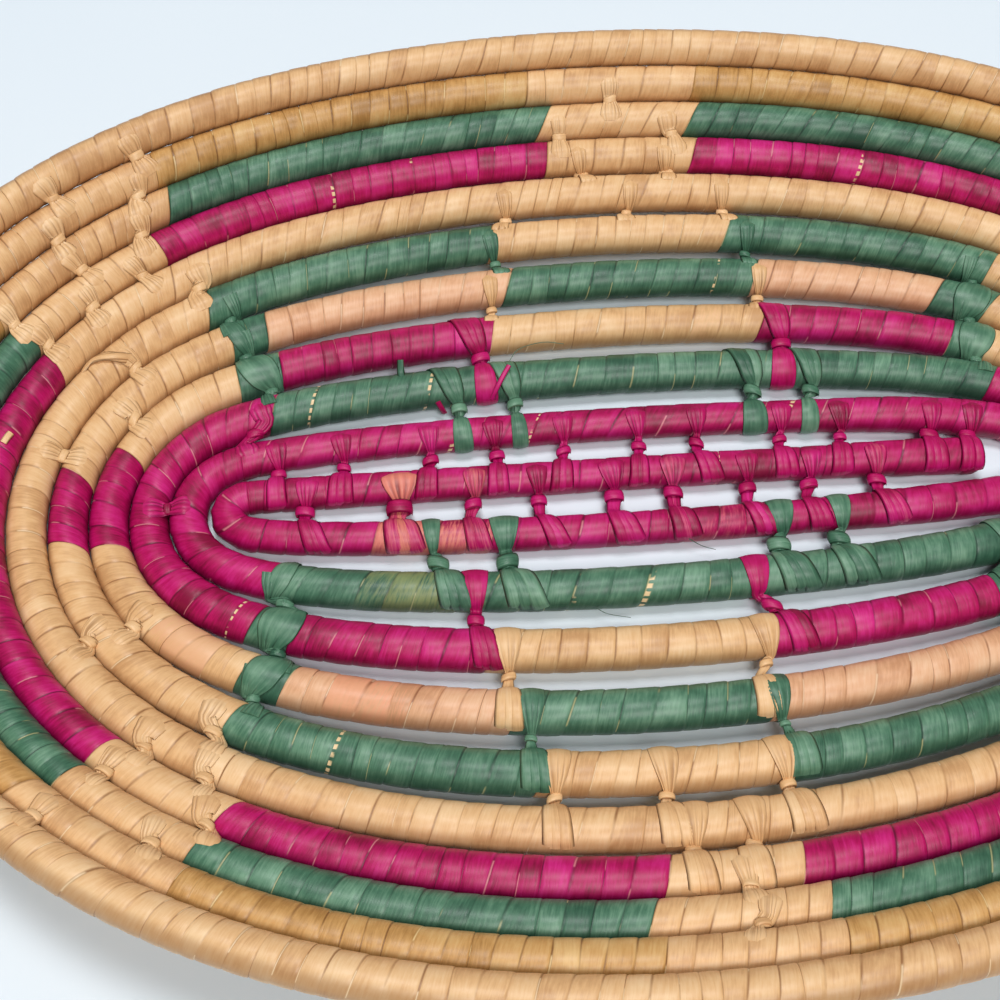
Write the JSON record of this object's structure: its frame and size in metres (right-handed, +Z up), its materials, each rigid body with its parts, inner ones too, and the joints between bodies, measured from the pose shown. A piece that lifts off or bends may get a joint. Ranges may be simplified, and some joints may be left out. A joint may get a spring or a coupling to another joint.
{
  "type": "coiled basket tray",
  "caption": "Shallow oval tray coiled from one fibre bundle wrapped in dyed palm leaf, open between the inner rows, with knotted stitches and a raised rim.",
  "frame": {"origin": "on the table plane, under the middle row where it crosses the middle of the tray's length", "axes": "+X along the tray's length, towards the end that is cut off in the picture; +Y across it, away from the viewer; +Z up, out of the tray's well"},
  "size_m": [0.3521, 0.246, 0.0339],
  "materials": {
    "core": "matt bundle of stiff grass, undyed, hidden inside the wrap",
    "magenta": "satin palm-leaf strip, dyed magenta",
    "green": "satin palm-leaf strip, dyed blue-green",
    "natural": "satin palm-leaf strip, undyed straw",
    "peach": "satin palm-leaf strip, pale peach",
    "mustard": "satin palm-leaf strip, mustard"
  },
  "bodies": {
    "root": {"core_coil": "core", "middle_wrap": "magenta", "lower_green_row": "green", "right_end_magenta": "magenta", "upper_green_row": "green", "left_end_magenta": "magenta", "lower_left_green_chain": "green", "row_2_lower_left_magenta": "magenta", "row_2_lower_natural_block": "natural", "row_2_lower_right_magenta": "magenta", "lower_right_green_chain": "green", "right_end_lower_natural": "natural", "right_end_upper_natural": "natural", "upper_right_green_chain": "green", "row_3_upper_right_magenta": "magenta", "row_3_upper_natural_block": "natural", "row_3_upper_left_magenta": "magenta", "upper_left_green_chain": "green", "left_end_upper_natural": "natural", "left_end_lower_natural": "natural", "row_3_lower_left_peach": "peach", "row_3_lower_green_block": "green", "row_3_lower_right_peach": "peach", "row_4_upper_right_peach": "peach", "row_4_upper_green_block": "green", "row_4_upper_left_peach": "peach", "row_4_lower_natural_block": "natural", "row_5_right_end_natural": "natural", "row_5_upper_natural_block": "natural", "row_5_left_end_natural": "natural", "row_5_lower_natural": "natural", "row_6_right_end_magenta": "magenta", "row_6_upper_natural": "natural", "row_6_left_end_magenta": "magenta", "lower_left_natural_corner": "natural", "row_6_lower_left_magenta": "magenta", "lower_natural_crown": "natural", "row_6_lower_right_magenta": "magenta", "lower_right_natural_corner": "natural", "row_7_right_end_green": "green", "upper_right_natural_corner": "natural", "row_7_upper_right_magenta": "magenta", "upper_natural_crown": "natural", "row_7_upper_left_magenta": "magenta", "upper_left_natural_corner": "natural", "row_7_left_end_green": "green", "row_7_lower_left_green": "green", "row_7_lower_right_green": "green", "row_8_right_end_mustard": "mustard", "row_8_upper_right_green": "green", "row_8_upper_left_green": "green", "row_8_left_end_mustard": "mustard", "row_8_lower_left_mustard": "mustard", "row_8_lower_right_mustard": "mustard", "row_9_right_end_natural": "natural", "row_9_upper_right_mustard": "mustard", "row_9_upper_left_mustard": "mustard", "row_9_left_and_lower_natural": "natural", "rim_right_end_wrap": "natural", "rim_upper_and_tail_wrap": "natural"}
  },
  "joints": []
}
